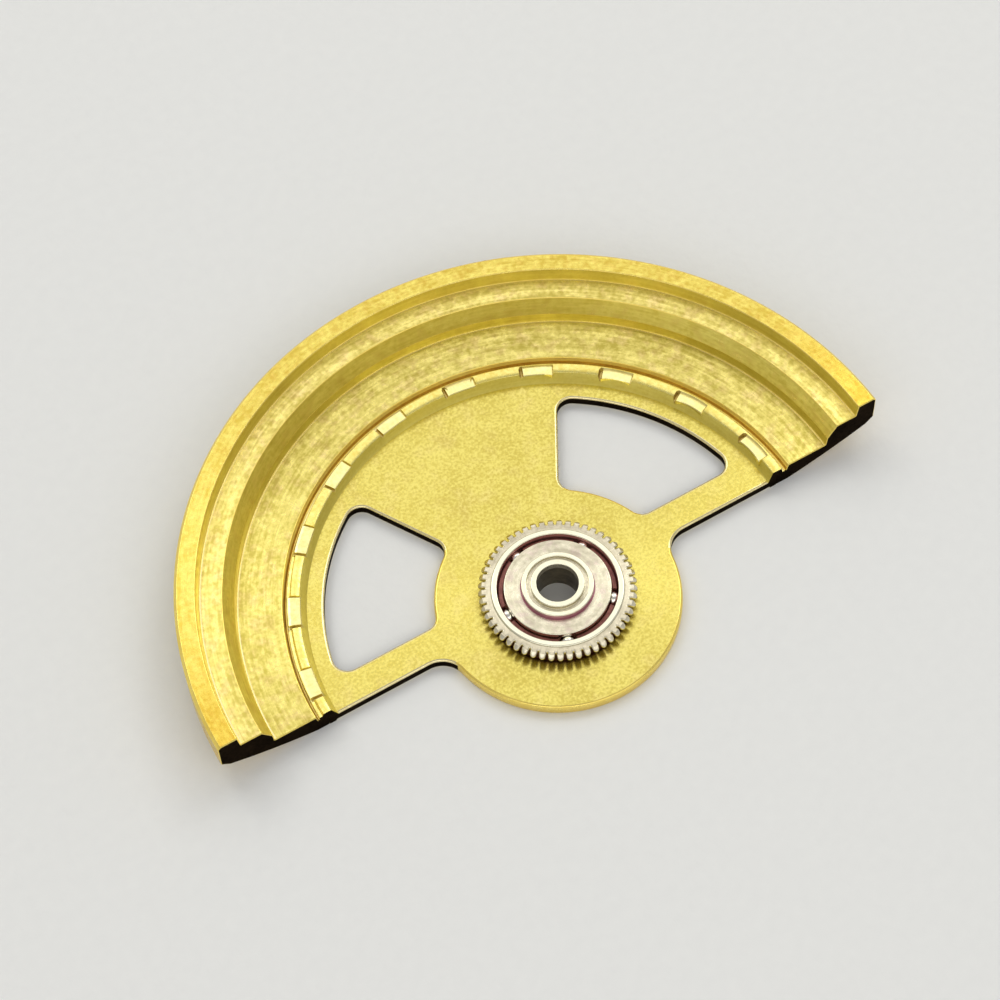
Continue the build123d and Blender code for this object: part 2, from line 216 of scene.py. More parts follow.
# Each finish says only where it differs from the usual one
finishes = {
    "rimGold": {
        "colour": (0.87, 0.74, 0.185), "dull": (0.68, 0.50, 0.080), "spread": 0.085,
        "roughness": (0.18, 0.34), "sheen": 0.75, "lines": 10.0, "arcs": 20.0, "grain": 6.0, "blotch": 1.3,
        "share": (0.30, 0.15, 0.35, 0.20), "depth": 0.0018, "patch": 4.0,
        # the cut cast makes the rim darker and more orange within 5 mm of the cut ends: painted shade
        "casts": [("patches", (0.98, 0.92, 0.92), 0.48, 0.66), ("cut", (0.99, 0.88, 0.62), 5.0, 0.5)],
    },
    "bandGold": {
        "colour": (0.85, 0.73, 0.228), "dull": (0.54, 0.445, 0.090), "spread": 0.080,
        "roughness": (0.22, 0.40), "sheen": 0.8, "lines": 9.0, "arcs": 7.0, "grain": 6.0, "blotch": 1.6,
        "share": (0.30, 0.20, 0.36, 0.14), "depth": 0.0030, "patch": 2.6,
        # the radius cast makes the step ring, past radius 10.95, brighter than the band: painted light
        "casts": [("radius", (1.13, 1.12, 1.20), 10.80, 10.95), ("patches", (0.98, 0.92, 1.12), 0.48, 0.66)],
    },
    "coneGold": {
        "colour": (0.98, 0.83, 0.200), "dull": (0.75, 0.60, 0.105),
        "roughness": (0.26, 0.42), "sheen": 0.6, "arcs": 16.0, "grain": 6.0,
        "share": (0.35, 0.20, 0.30, 0.15), "depth": 0.0024,
        # the cut cast darkens the cone from 5.5 mm to 9.5 mm from the cut, on its far side: painted shade
        "casts": [("patches", (0.90, 0.84, 0.80), 0.50, 0.68), ("cut", (0.77, 0.71, 0.50), 5.5, 9.5)],
    },
    # painted highlight: pale strips at the outer edges of the step and band, and on the web's bevels
    "paleGold": {
        "colour": (0.94, 0.83, 0.48), "dull": (0.80, 0.67, 0.32),
        "roughness": (0.20, 0.32), "sheen": 0.6, "lines": 12.0, "blotch": 2.0,
        "share": (0.30, 0.40, 0.20, 0.10),
    },
    "wallGold": {
        "colour": (0.90, 0.77, 0.20), "dull": (0.74, 0.60, 0.11),
        "roughness": (0.30, 0.44), "sheen": 0.3, "arcs": 6.0, "grain": 8.0,
        "share": (0.30, 0.30, 0.20, 0.20),
    },
    "grooveGold": {
        "colour": (0.96, 0.85, 0.42), "dull": (0.87, 0.75, 0.30),
        "roughness": (0.32, 0.46), "sheen": 0.3,
    },
    # painted shade at the bottom of the groove beside the lip
    "stainGold": {
        "colour": (0.68, 0.45, 0.14), "dull": (0.50, 0.29, 0.07),
        "roughness": (0.34, 0.48), "arcs": 12.0,
    },
    # painted shade: the wide notch at a stake's end is darker olive-brown
    "notchGold": {
        "colour": (0.60, 0.46, 0.17), "dull": (0.42, 0.30, 0.08), "roughness": (0.40, 0.52),
    },
    "seamGold": {
        "colour": (0.88, 0.77, 0.34), "dull": (0.72, 0.61, 0.22), "roughness": (0.40, 0.52),
    },
    "slopeGold": {
        "colour": (0.90, 0.80, 0.25), "dull": (0.76, 0.65, 0.15), "spread": 0.11,
        "roughness": (0.42, 0.54), "sheen": 0.5, "arcs": 12.0,
    },
    "plateGold": {
        "colour": (0.785, 0.680, 0.180), "dull": (0.625, 0.510, 0.106), "spread": 0.085,
        "roughness": (0.16, 0.26), "sheen": 0.72, "lines": 5.0, "arcs": 18.0, "grain": 10.0, "blotch": 1.0,
        "share": (0.12, 0.0, 0.66, 0.22), "depth": 0.0007, "patch": 1.4,
        # the radius cast turns the plate near black under the gear, inside radius 2.54
        "casts": [("patches", (1.0, 0.98, 1.14), 0.50, 0.70), ("radius", (0.13, 0.055, 0.12), 2.54, 2.45)],
    },
    "edgeGold": {
        "colour": (0.97, 0.77, 0.20), "dull": (0.90, 0.67, 0.14),
        "roughness": (0.24, 0.36), "sheen": 0.2, "lines": 6.0, "depth": 0.0006,
    },
    "crestGold": {
        "colour": (0.95, 0.84, 0.29), "dull": (0.82, 0.66, 0.16), "spread": 0.09,
        "roughness": (0.20, 0.34), "sheen": 0.4, "arcs": 20.0, "grain": 8.0, "blotch": 2.0,
        "share": (0.25, 0.10, 0.40, 0.25), "depth": 0.0018,
    },
    "stakedGold": {
        "colour": (0.97, 0.89, 0.44), "dull": (0.90, 0.79, 0.30),
        "roughness": (0.16, 0.28), "lines": 5.0, "arcs": 14.0, "grain": 8.0, "blotch": 2.5,
        "share": (0.20, 0.10, 0.40, 0.30),
    },
    # painted shade: the cut ends and the window walls are near black, with dimmed grazing shine
    "cutGold": {
        "colour": (0.020, 0.012, 0.006), "dull": (0.008, 0.005, 0.003), "grazing": (0.5, 0.5, 0.5),
        "roughness": (0.42, 0.60), "lines": 5.0, "arcs": 2.0, "grain": 8.0, "blotch": 1.2,
        "share": (0.20, 0.0, 0.40, 0.40), "depth": 0.0016,
    },
    "polishedSteel": {
        "colour": (0.96, 0.93, 0.74), "dull": (0.84, 0.80, 0.61),
        "roughness": (0.10, 0.20), "sheen": 0.3, "lines": 14.0, "arcs": 5.0, "grain": 12.0, "blotch": 2.0,
        "share": (0.30, 0.30, 0.20, 0.20), "depth": 0.0004,
    },
    "brushedSteel": {
        "colour": (0.79, 0.725, 0.555), "dull": (0.54, 0.48, 0.355),
        "roughness": (0.22, 0.40), "sheen": 0.7, "lines": 12.0, "arcs": 10.0, "grain": 8.0, "blotch": 1.8,
        "share": (0.30, 0.25, 0.25, 0.20), "depth": 0.0012,
    },
    "flangeSteel": {
        "colour": (0.88, 0.825, 0.64), "dull": (0.58, 0.53, 0.395), "spread": 0.085,
        "roughness": (0.20, 0.36), "sheen": 0.65, "lines": 11.0, "arcs": 7.0, "grain": 6.0, "blotch": 1.8,
        "share": (0.25, 0.25, 0.25, 0.25), "depth": 0.0012,
        "casts": [("patches", (0.88, 0.81, 0.88), 0.50, 0.66)],
    },
    "toothSteel": {
        "colour": (0.86, 0.80, 0.62), "dull": (0.70, 0.63, 0.48),
        "roughness": (0.18, 0.32), "sheen": 0.2, "grain": 12.0, "blotch": 3.0,
        "share": (0.20, 0.20, 0.30, 0.30), "depth": 0.0008,
        # the cut cast tints the teeth gold towards +y, fully past 2.3 mm: painted reflection of the plate
        "casts": [("cut", (0.96, 0.88, 0.52), 0.2, 2.3)],
    },
    # painted light: the bore wall and groove inside the slit are a light maroon and mostly matte, so the
    # shaded slit isn't black
    "stainedSteel": {
        "colour": (0.60, 0.25, 0.21), "dull": (0.40, 0.15, 0.125), "metal": 0.15,
        "roughness": (0.30, 0.46), "lines": 10.0, "arcs": 4.0, "grain": 12.0, "blotch": 2.0,
        "share": (0.30, 0.20, 0.20, 0.30), "depth": 0.0008,
    },
    # painted shade: the race's shoulder and body under the gear are near black
    "oiledSteel": {
        "colour": (0.100, 0.034, 0.028), "dull": (0.045, 0.016, 0.014), "metal": 0.6,
        "roughness": (0.34, 0.48), "lines": 10.0, "arcs": 4.0, "grain": 12.0, "blotch": 2.0,
        "share": (0.30, 0.20, 0.20, 0.30), "depth": 0.0008,
    },
    # painted shade: the ring at the boss's foot and the boss's wall are dark mauve
    "footSteel": {
        "colour": (0.52, 0.24, 0.28), "dull": (0.38, 0.15, 0.19), "metal": 0.6,
        "roughness": (0.30, 0.44), "lines": 10.0, "arcs": 4.0, "grain": 12.0, "blotch": 2.0,
        "share": (0.30, 0.20, 0.20, 0.30), "depth": 0.0006,
    },
    # painted light: the gear's underside is pale and matte, so its mirrored image in the plate reads light
    "underSteel": {
        "colour": (0.96, 0.92, 0.74), "dull": (0.88, 0.83, 0.64), "metal": 0.0,
        "roughness": (0.34, 0.48), "grain": 12.0, "blotch": 3.0,
        "share": (0.30, 0.20, 0.20, 0.30), "depth": 0.0006,
    },
    # painted shade: the deep part of the core's bore is dark
    "darkSteel": {
        "colour": (0.19, 0.155, 0.09), "dull": (0.09, 0.07, 0.04), "metal": 0.7,
        "roughness": (0.28, 0.42), "sheen": 0.2, "lines": 10.0, "arcs": 4.0, "grain": 12.0, "blotch": 2.0,
        "share": (0.30, 0.20, 0.20, 0.30), "depth": 0.0008,
    },
    # a bronze tone darkened to maroon: the cage's own colour with painted shade of the slit
    "cageBronze": {
        "colour": (0.36, 0.120, 0.095), "dull": (0.21, 0.062, 0.050), "metal": 0.25,
        "roughness": (0.30, 0.46), "arcs": 6.0, "grain": 12.0, "blotch": 3.0,
        "share": (0.20, 0.20, 0.30, 0.30),
    },
    "ballSteel": {
        "colour": (0.95, 0.92, 0.86), "dull": (0.85, 0.81, 0.74),
        "roughness": (0.05, 0.12), "lines": 6.0, "grain": 18.0, "blotch": 4.0,
        "share": (0.20, 0.20, 0.30, 0.30), "depth": 0.0002,
    },
}

# What the marks of all finishes have in common. The gloss goes from rough to smooth while the
# mixed marks go from glossFrom to glossTo.
markLook = {
    "markScale": 1.0, "markDetail": 5.0, "ringArcs": 0.7, "ringScale": 0.6, "ringDetail": 4.0,
    "drawnRough": 0.62, "grainDetail": 3.0, "grainRough": 0.6, "blotchDetail": 2.0, "patchDetail": 4.0,
    "glossFrom": 0.38, "glossTo": 0.62,
}


def turnedMetal(name, look):
    # metal with marks drawn out round the rotor's axis, fine grain and slow blotches
    material = bpy.data.materials.new(name)
    material.use_nodes = True
    tree = material.node_tree
    shader = tree.nodes["Principled BSDF"]
    shader.inputs["Metallic"].default_value = look["metal"]
    shader.inputs["Anisotropic"].default_value = look["sheen"]
    shader.inputs["Specular Tint"].default_value = opaque(look["grazing"])
    spot = spotInMillimetres(tree)
    across = addVectorMath(tree, "MULTIPLY", spot, (1, 1, 0)).outputs[0]
    radius = addVectorMath(tree, "LENGTH", across).outputs["Value"]
    outward = addVectorMath(tree, "NORMALIZE", across).outputs[0]
    parts = addNode(tree, "ShaderNodeSeparateXYZ", {"Vector": spot})
    reach = addMath(tree, "ADD", radius, parts.outputs["Z"])
    rings = addMath(tree, "MULTIPLY", reach, look["lines"])
    lift = addNode(tree, "ShaderNodeCombineXYZ", {"Z": rings}).outputs[0]

    def drawnOut(arcs, scale, detail):
        # noise that is fine across the radius, and drawn out round the axis where arcs is small
        place = addVectorMath(tree, "MULTIPLY_ADD", outward, (arcs, arcs, arcs), lift).outputs[0]
        return addNoise(tree, place, scale, detail, markLook["drawnRough"])

    kinds = (
        drawnOut(look["arcs"], markLook["markScale"], markLook["markDetail"]),
        drawnOut(markLook["ringArcs"], markLook["ringScale"], markLook["ringDetail"]),
        addNoise(tree, spot, look["grain"], markLook["grainDetail"], markLook["grainRough"]),
        addNoise(tree, spot, look["blotch"], markLook["blotchDetail"]),
    )
    marks = 0.0
    for kind, share in zip(kinds, look["share"]):
        marks = addMath(tree, "MULTIPLY_ADD", kind, share, marks)
    mix = addRange(tree, marks, 0.5 - look["spread"], 0.5 + look["spread"])
    colour = addTones(tree, mix, look["dull"], look["colour"])
    patches = addNoise(tree, spot, look["patch"], markLook["patchDetail"])
    causes = {"patches": patches, "radius": radius, "cut": parts.outputs["Y"]}
    for cause, cast, start, full in look["casts"]:
        sockets = {0: addRange(tree, causes[cause], start, full), 6: colour, 7: opaque(cast)}
        mixed = addNode(tree, "ShaderNodeMix", sockets, data_type="RGBA", blend_type="MULTIPLY")
        colour = mixed.outputs[2]
    smooth, rough = look["roughness"]
    gloss = addRange(tree, marks, markLook["glossFrom"], markLook["glossTo"], rough, smooth)
    # the marks run round the axis, so the highlight spreads outwards, across them
    spaces = {"vector_type": "VECTOR", "convert_from": "OBJECT", "convert_to": "WORLD"}
    tangent = addNode(tree, "ShaderNodeVectorTransform", {"Vector": outward}, **spaces)
    tree.links.new(colour, shader.inputs["Base Color"])
    tree.links.new(gloss, shader.inputs["Roughness"])
    tree.links.new(addBump(tree, marks, look["depth"]), shader.inputs["Normal"])
    tree.links.new(tangent.outputs[0], shader.inputs["Tangent"])
    return material


metals = {name: turnedMetal(name, {**usualFinish, **look}) for name, look in finishes.items()}
print("finishes mixed:", len(metals))


# What all pieces are drawn with, in millimetres
cornerSteps = 4
weldDistance = 0.0025
samePlace = 1e-9  # two points nearer than this are one
creaseFrom = 32.0  # degrees between two faces, from which their shared edge is sharp
squareFrom = 0.9999  # from here on a face's normal counts as square to the flat or to the cut
cutReach = 0.02  # a face this near the straight cut can be part of it


def onCircle(radius, angle):
    return (radius * cos(radians(angle)), radius * sin(radians(angle)))


def angleOf(spot):
    return degrees(atan2(spot[1], spot[0]))


def roundCorners(corners):
    # corners are (radius, height, rounding, finish of the side that follows); gives the finer outline
    outline = []
    for index, (radius, height, rounding, finish) in enumerate(corners):
        here = Vector((radius, height))
        if not rounding:
            outline.append((here, finish))
            continue
        before = (Vector(corners[index - 1][:2]) - here).normalized()
        after = (Vector(corners[(index + 1) % len(corners)][:2]) - here).normalized()
        half = before.angle(after) / 2
        centre = here + (before + after).normalized() * rounding / sin(half)
        first = here + before * rounding / tan(half) - centre
        last = here + after * rounding / tan(half) - centre
        turn = atan2(first.cross(last), first.dot(last))
        for step in range(cornerSteps + 1):
            angle = turn * step / cornerSteps
            across = first.x * cos(angle) - first.y * sin(angle)
            upward = first.x * sin(angle) + first.y * cos(angle)
            side = "edgeOf" if step < cornerSteps else finish
            outline.append((centre + Vector((across, upward)), side))
    return outline


def namedFinishes(outline, edgeFinish):
    return [edgeFinish if finish == "edgeOf" else finish for point, finish in outline]


def shrunk(points, inset):
    # the closed outline drawn in on itself, for a broken edge round a cut end
    signed = sum(points[i - 1].cross(points[i]) for i in range(len(points)))
    side = 1 if signed > 0 else -1
    inner = []
    for index, here in enumerate(points):
        before = here - points[index - 1]
        after = points[(index + 1) % len(points)] - here
        if min(before.length, after.length) < samePlace:
            before = after = before if before.length > after.length else after
        normal = (before.normalized() + after.normalized()).normalized()
        inner.append(here + Vector((-normal.y, normal.x)) * inset * side)
    return inner


def weld(shape):
    bmesh.ops.remove_doubles(shape, verts=shape.verts, dist=weldDistance)
    bmesh.ops.recalc_face_normals(shape, faces=shape.faces)


def meshFrom(shape, name, finishNames):
    mesh = bpy.data.meshes.new(name)
    shape.to_mesh(mesh)
    shape.free()
    for finish in finishNames:
        mesh.materials.append(metals[finish])
    return mesh


def sweepMesh(name, rings, ringFinishes, endFinish=None):
    # rings are closed loops of 3-D points; joined one to the next, and round or capped at the ends
    shape = bmesh.new()
    used = {finish for row in ringFinishes for finish in row}
    if endFinish:
        used.add(endFinish)
    names = sorted(used)
    loops = [[shape.verts.new(point) for point in ring] for ring in rings]
    count = len(loops[0])
    turns = len(loops) - 1 if endFinish else len(loops)
    for turn in range(turns):
        here, there = loops[turn], loops[(turn + 1) % len(loops)]
        for side in range(count):
            nextSide = (side + 1) % count
            face = shape.faces.new((here[side], here[nextSide], there[nextSide], there[side]))
            face.material_index = names.index(ringFinishes[turn][side])
    if endFinish:
        for loop in (loops[0], loops[-1]):
            face = shape.faces.new(loop)
            face.material_index = names.index(endFinish)
    weld(shape)
    return meshFrom(shape, name, names)


def finishPiece(name, meshes, nodes, body):
    # joins the meshes into one piece in metres, with crisp edges, and hangs it on its body
    shape = bmesh.new()
    materials = []
    for mesh in meshes:
        start = len(shape.faces)
        shape.from_mesh(mesh)
        shape.faces.ensure_lookup_table()
        for face in shape.faces[start:]:
            material = mesh.materials[face.material_index]
            if material not in materials:
                materials.append(material)
            face.material_index = materials.index(material)
    for vertex in shape.verts:
        vertex.co *= millimetre
    joined = bpy.data.meshes.new(name)
    shape.to_mesh(joined)
    shape.free()
    for material in materials:
        joined.materials.append(material)
    joined.set_sharp_from_angle(angle=radians(creaseFrom))
    # true flats keep their own normal, so that rounded edges beside them don't tilt it
    for face in joined.polygons:
        onCut = abs(face.normal.y) > squareFrom and abs(face.center.y) < cutReach * millimetre
        face.use_smooth = abs(face.normal.z) < squareFrom and not onCut
    piece = bpy.data.objects.new(name, joined)
    scene.collection.objects.link(piece)
    weighted = piece.modifiers.new("evenFlats", "WEIGHTED_NORMAL")
    weighted.keep_sharp = True
    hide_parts(*nodes)
    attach(piece, body)
    print("made", name, "with", len(joined.polygons), "faces")


def turnedRound(name, corners, edgeFinish, steps):
    # a full turned ring from its outline
    outline = roundCorners(corners)
    rings = []
    for step in range(steps):
        x, y = onCircle(1, 360 * step / steps)
        rings.append([(point.x * x, point.x * y, point.y) for point, finish in outline])
    return sweepMesh(name, rings, [namedFinishes(outline, edgeFinish)] * steps)


# Half ring of heavy metal round the plate
massSize = {
    "outer": 12.50, "chamfer": 0.10, "rimInner": 11.79,
    "stepOuter": 11.72, "stepInner": 10.96,
    "coneFoot": 10.62, "bandOuter": 10.58, "glintWidth": 0.06, "bandInner": 9.07,
    "lipOuter": 9.00, "lipInner": 8.64, "shadeRise": 0.14,
    "rimTop": 2.30, "stepTop": 1.79, "coneFootTop": 1.28, "bandTop": 0.90, "lipTop": 0.60,
    "displayFoot": 9.10, "displayBevel": (12.20, 0.88), "outerWallFoot": 1.15,
    "displayBulge": 0.07, "bulgeSteps": 10,
    "corner": 0.04, "inside": 0.025, "endBreak": 0.03, "steps": 300,
    "goldAbove": 0.05,  # the cut ends' broken edge is gold from this far above the lip
}


def displaySide(size):
    # swells a little between its foot and the bevel
    foot, bevel = Vector((size["displayFoot"], 0)), Vector(size["displayBevel"])
    chord = bevel - foot
    outwards = Vector((chord.y, -chord.x)).normalized()
    corners = []
    for step in range(size["bulgeSteps"] + 1):
        share = step / size["bulgeSteps"]
        point = foot + chord * share + outwards * size["displayBulge"] * 4 * share * (1 - share)
        corners.append((point.x, point.y, 0, "rimGold"))
    return corners


def massOutline(size):
    corner, inside, pale = size["corner"], size["inside"], size["glintWidth"]
    # the foot of the wall beside the lip is painted darker and redder: painted shade at the bottom of the
    # groove
    shadeRise = size["shadeRise"]
    wallLean = (size["bandInner"] - size["lipOuter"]) / (size["bandTop"] - size["lipTop"])
    corners = [
        (size["outer"], size["outerWallFoot"], corner, "rimGold"),
        (size["outer"], size["rimTop"] - size["chamfer"], corner, "edgeGold"),
        (size["outer"] - size["chamfer"], size["rimTop"], corner, "rimGold"),
        (size["rimInner"], size["rimTop"], corner, "wallGold"),
        # a thin strip at the step's and the band's outer edge is painted pale: painted highlight
        (size["stepOuter"], size["stepTop"], inside, "paleGold"),
        (size["stepOuter"] - pale, size["stepTop"], 0, "bandGold"),
        (size["stepInner"], size["stepTop"], corner, "coneGold"),
        (size["coneFoot"], size["coneFootTop"], inside, "wallGold"),
        (size["bandOuter"], size["bandTop"], inside, "paleGold"),
        (size["bandOuter"] - pale, size["bandTop"], 0, "bandGold"),
        (size["bandInner"], size["bandTop"], corner, "grooveGold"),
        (size["lipOuter"] + shadeRise * wallLean, size["lipTop"] + shadeRise, 0, "stainGold"),
        (size["lipOuter"], size["lipTop"], inside, "grooveGold"),
        (size["lipInner"], size["lipTop"], 0, "wallGold"),
        (size["lipInner"], 0, corner, "plateGold"),
    ]
    return roundCorners(corners + displaySide(size))


def makeMass(size):
    outline = massOutline(size)
    points = [point for point, finish in outline]
    sides = namedFinishes(outline, "edgeGold")
    steps, endBreak = size["steps"], size["endBreak"]
    # both ends are drawn in over three rings, so the cut's edge is round
    ends = []
    for turn in (0, 45, 90):
        inset, away = endBreak * (1 - sin(radians(turn))), endBreak * (1 - cos(radians(turn)))
        drawnIn = shrunk(points, inset) if inset > weldDistance else points
        ends.append([(point.x, away, point.y) for point in drawnIn])
    first = [[(sqrt(x ** 2 - y ** 2), y, z) for x, y, z in ring] for ring in ends]
    last = [[(-x, y, z) for x, y, z in ring] for ring in reversed(first)]
    middle = []
    for step in range(1, steps):
        x, y = onCircle(1, 180 * step / steps)
        middle.append([(point.x * x, point.x * y, point.y) for point in points])
    # the cut ends, and their broken edge below goldAbove, are painted near black: painted shade
    goldFrom = size["lipTop"] + size["goldAbove"]
    breaks = [["edgeGold" if point.y > goldFrom else "cutGold" for point in points]] * 2
    rowFinishes = breaks + [sides] * steps + breaks
    mesh = sweepMesh("heavyMass", first + middle + last, rowFinishes, "cutGold")
    finishPiece("heavyMass", [mesh], ["heavy_mass"], "rotor")


makeMass(massSize)


# The plate's flat web with its two windows. A face whose normal rises more than flatFrom is a
# flat, and one whose normal rises more than bevelFrom is a bevel.
webSize = {
    "reach": 8.50, "thick": 0.42, "edge": 0.09, "edgeSteps": 3,
    "hub": 4.13, "hubFillet": 0.85, "hubSlack": 0.02, "hole": 2.228,
    "arm": 1.15, "windowInner": 4.10, "windowOuter": 7.73, "windowFillet": 0.50,
    "spokeHalf": 30.2, "spokeOffset": 0.11, "cutStart": 0.004, "endAngle": 0.03,
    "reachSteps": 180, "hubSteps": 120, "hubFilletSteps": 12,
    "windowOuterSteps": 40, "windowInnerSteps": 24, "windowFilletSteps": 8,
    "flatFrom": 0.99, "bevelFrom": 0.2,
}


def arcPoints(centre, radius, start, end, steps):
    points = []
    for step in range(steps + 1):
        x, y = onCircle(radius, start + (end - start) * step / steps)
        points.append((centre[0] + x, centre[1] + y))
    return points


def webOutline(size):
    # half disc with a round hub, faired into the straight cut by two fillets
    fillet, steps, start = size["hubFillet"], size["hubFilletSteps"], size["endAngle"]
    centreY = size["cutStart"] - fillet
    centreX = sqrt((size["hub"] + fillet) ** 2 - centreY ** 2)
    meet = angleOf((centreX, centreY))  # where a fillet meets the hub
    outline = arcPoints((0, 0), size["reach"], start, 180 - start, size["reachSteps"])
    outline += arcPoints((-centreX, centreY), fillet, 90, -meet, steps)
    outline += arcPoints((0, 0), size["hub"], 180 - meet, 360 + meet, size["hubSteps"])
    outline += arcPoints((centreX, centreY), fillet, 180 + meet, 90, steps)
    return outline


def windowOutline(size):
    # four fillet centres, each between a straight side and a circle round the axis
    fillet, steps = size["windowFillet"], size["windowFilletSteps"]
    outer, inner = size["windowOuter"] - fillet, size["windowInner"] + fillet
    armHeight = size["arm"] + fillet
    spokeAway = size["spokeOffset"] + fillet
    spokeTurn = radians(90 - size["spokeHalf"])

    def spokeSpot(radius):
        along = sqrt(radius ** 2 - spokeAway ** 2)
        x = along * cos(spokeTurn) + spokeAway * sin(spokeTurn)
        y = along * sin(spokeTurn) - spokeAway * cos(spokeTurn)
        return (x, y)

    def armSpot(radius):
        return (sqrt(radius ** 2 - armHeight ** 2), armHeight)

    def betweenSpots(radius, start, end, steps):
        return arcPoints((0, 0), radius, angleOf(start), angleOf(end), steps)[1:-1]

    armOut, armIn = armSpot(outer), armSpot(inner)
    spokeOut, spokeIn = spokeSpot(outer), spokeSpot(inner)
    away = 180 - size["spokeHalf"]  # from a fillet's centre square to the spoke
    outline = arcPoints(armOut, fillet, -90, angleOf(armOut), steps)
    outline += betweenSpots(size["windowOuter"], armOut, spokeOut, size["windowOuterSteps"])
    outline += arcPoints(spokeOut, fillet, angleOf(spokeOut), away, steps)
    outline += arcPoints(spokeIn, fillet, away, angleOf(spokeIn) + 180, steps)
    outline += betweenSpots(size["windowInner"], spokeIn, armIn, size["windowInnerSteps"])
    outline += arcPoints(armIn, fillet, angleOf(armIn) + 180, 270, steps)
    return outline


def webCurve(size):
    # flat curve through the outlines, with bevelled edges
    curve = bpy.data.curves.new("webCurve", "CURVE")
    curve.dimensions = "2D"
    curve.fill_mode = "BOTH"
    curve.bevel_depth = size["edge"]
    curve.bevel_resolution = size["edgeSteps"]
    curve.extrude = size["thick"] / 2 - size["edge"]
    curve.offset = -size["edge"]
    window = windowOutline(size)
    mirrored = [(-x, y) for x, y in reversed(window)]
    hole = arcPoints((0, 0), size["hole"], 0, 360, size["hubSteps"])[:-1]
    for outline in (webOutline(size), window, mirrored, hole):
        spline = curve.splines.new("POLY")
        spline.points.add(len(outline) - 1)
        for point, (x, y) in zip(spline.points, outline):
            point.co = (x, y, 0, 1)
        spline.use_cyclic_u = True
    return curve


def webFinish(size, face):
    rise = abs(face.normal.z)
    if rise > size["flatFrom"]:
        return "plateGold"
    if face.calc_center_median().xy.length < size["hub"] + size["hubSlack"]:
        return "edgeGold"
    # a bevel is painted pale as a highlight, a window wall or cut face near black as painted shade
    return "paleGold" if rise > size["bevelFrom"] else "cutGold"


def makeWeb(size):
    holder = bpy.data.objects.new("webCurve", webCurve(size))
    scene.collection.objects.link(holder)
    bpy.context.view_layer.update()
    drawn = holder.evaluated_get(bpy.context.evaluated_depsgraph_get())
    mesh = bpy.data.meshes.new_from_object(drawn)
    bpy.data.objects.remove(holder)
    mesh.transform(Matrix.Translation((0, 0, size["thick"] / 2)))
    shape = bmesh.new()
    shape.from_mesh(mesh)
    weld(shape)
    shape.normal_update()
    names = ["plateGold", "paleGold", "edgeGold", "cutGold"]
    for face in shape.faces:
        face.material_index = names.index(webFinish(size, face))
    return meshFrom(shape, "web", names)


# The plate's rim, turned over the mass's lip and staked at ten places. slopeHigh and slopeLow
# are how far under the crest the slope's two points lie.
rimSize = {
    "bottom": 0.003, "innerWall": 8.40, "outer": 8.635, "seat": 0.605, "turnedFoot": 8.965,
    "ledgeOuter": 8.945, "ledgeInner": 8.855, "ledge": 0.775, "ledgeLow": 0.64,
    "crestOuter": 8.815, "crestInner": 8.465, "crest": 0.90, "slopeFoot": 8.305, "web": 0.42,
    "slopeHigh": 0.065, "slopeLow": 0.30, "footIn": 0.015, "footDrop": 0.02,
    "round": 0.02, "step": 0.75, "changeFrom": 118.0, "changeTo": 160.0, "leftInner": 0.06,
    "brightFrom": 0.4,
}
# Each stake's face runs from inner to outer. The punch circle stood off centre, to the left, so
# both radii and the place round the rim shift with the angle. The two notches say where across
# the gaps the outline is drawn down.
stakeSize = {
    "count": 10, "centre": 89.8, "pitch": 18.2, "drift": 1.1, "width": 6.7, "steps": 12,
    "top": 0.835, "gapWide": 0.95, "gapThin": 0.32, "wideFloor": 0.745, "thinFloor": 0.81,
    "wideNotch": (0.25, 0.60), "thinNotch": (0.65, 0.35),
    "inner": 8.455, "innerShift": 0.085, "outer": 8.80, "outerShift": 0.135,
    "slantWide": 0.095, "arch": 0.045, "archShift": 0.04,
    "skew": 0.022, "skewTurn": 2.4, "skewStart": 1.0,
    "leastStrip": 0.05, "leastLedge": 0.03, "footGap": 0.006,
}


def slopeSpot(size, height):
    # point of the straight slope between the crest's inner edge and the web
    lean = (size["crestInner"] - size["slopeFoot"]) / (size["crest"] - size["web"])
    return size["slopeFoot"] + (height - size["web"]) * lean


def rimAt(size, angle):
    # towards the left end the crest grows narrower and a thin ledge stands outside it
    near = min(max((angle - size["changeFrom"]) / (size["changeTo"] - size["changeFrom"]), 0), 1)
    near = near * near * (3 - 2 * near)
    here = dict(size)
    here["crestInner"] += size["leftInner"] * near
    here["ledge"] = size["ledgeLow"] + (size["ledge"] - size["ledgeLow"]) * near
    here["ledgeFinish"] = "crestGold" if near > size["brightFrom"] else "grooveGold"
    return here


